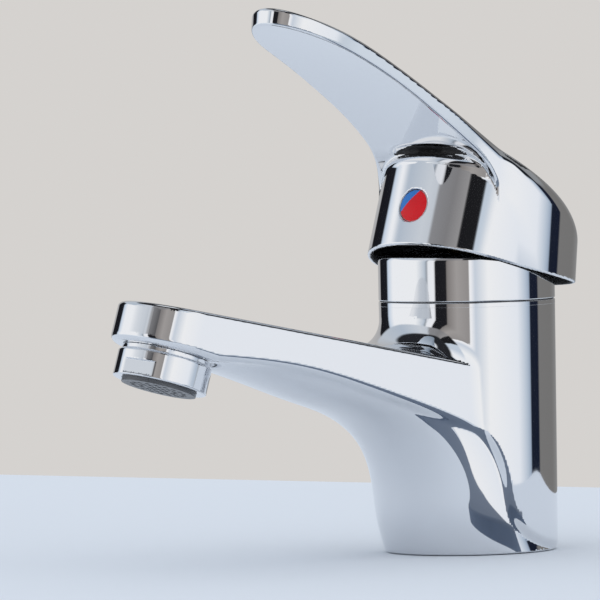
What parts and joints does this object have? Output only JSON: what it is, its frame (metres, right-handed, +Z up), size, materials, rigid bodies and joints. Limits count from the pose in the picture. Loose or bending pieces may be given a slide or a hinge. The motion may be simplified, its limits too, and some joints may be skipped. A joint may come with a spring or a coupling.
{
  "type": "basin mixer tap",
  "caption": "Chrome single-lever basin mixer tap with a round column, a flat forward spout, a lever handle over a ceramic-disc cartridge, and its deck fixings.",
  "frame": {"origin": "centre of the column's base, on the deck that the tap stands on", "axes": "+Z up along the column; the spout points along -Y; +X is to the right of someone who stands in front of the spout and faces the tap"},
  "size_m": [0.066, 0.1548, 0.2192],
  "materials": {
    "chrome": "mirror-polished chrome plate",
    "brass": "machined brass",
    "steel": "zinc-plated steel",
    "cartridge_plastic": "moulded white plastic",
    "rotor_plastic": "moulded dark grey plastic",
    "ceramic": "polished alumina ceramic",
    "rubber": "moulded black rubber",
    "index": "glossy red and blue plastic",
    "aerator_plastic": "moulded grey plastic"
  },
  "bodies": {
    "tap_body": {"faucet_body": "chrome", "trim_ring": "chrome", "cartridge_nut": "brass", "cartridge_housing": "cartridge_plastic", "cartridge_base": "cartridge_plastic", "base_port_seals": "rubber", "fixed_ceramic_disc": "ceramic", "aerator_housing": "chrome", "aerator_insert": "aerator_plastic", "aerator_screen": "steel", "aerator_washer": "rubber", "base_seal": "rubber", "mounting_stud": "steel", "rubber_horseshoe": "rubber", "steel_horseshoe": "steel", "fixing_nut": "brass"},
    "cartridge_spindle": {"cartridge_rotor": "rotor_plastic", "stem_pin": "steel"},
    "lever": {"handle": "chrome", "lever_stem": "brass", "handle_grub_screw": "steel", "index_button": "index"},
    "mixing_disc": {"moving_ceramic_disc": "ceramic", "disc_carrier": "rotor_plastic"}
  },
  "joints": [
    {"name": "lever_swivel", "type": "hinge", "parent": "tap_body", "child": "cartridge_spindle", "pos_m": [0, 0, 0.08], "axis": [0, 0, 1], "range_deg": [-61, 29]},
    {"name": "lever_lift", "type": "hinge", "parent": "cartridge_spindle", "child": "lever", "pos_m": [0, 0, 0.08], "axis": [-0.9613, -0.2756, 0], "range_deg": [-20, 5]},
    {"name": "disc_slide", "type": "slide", "parent": "cartridge_spindle", "child": "mixing_disc", "axis": [0.2756, -0.9613, 0], "range_m": [-0.0036, 0.001]}
  ],
  "couplings": [
    {"joint": "disc_slide", "follows": "lever_lift", "m_per_rad": 0.0098}
  ]
}
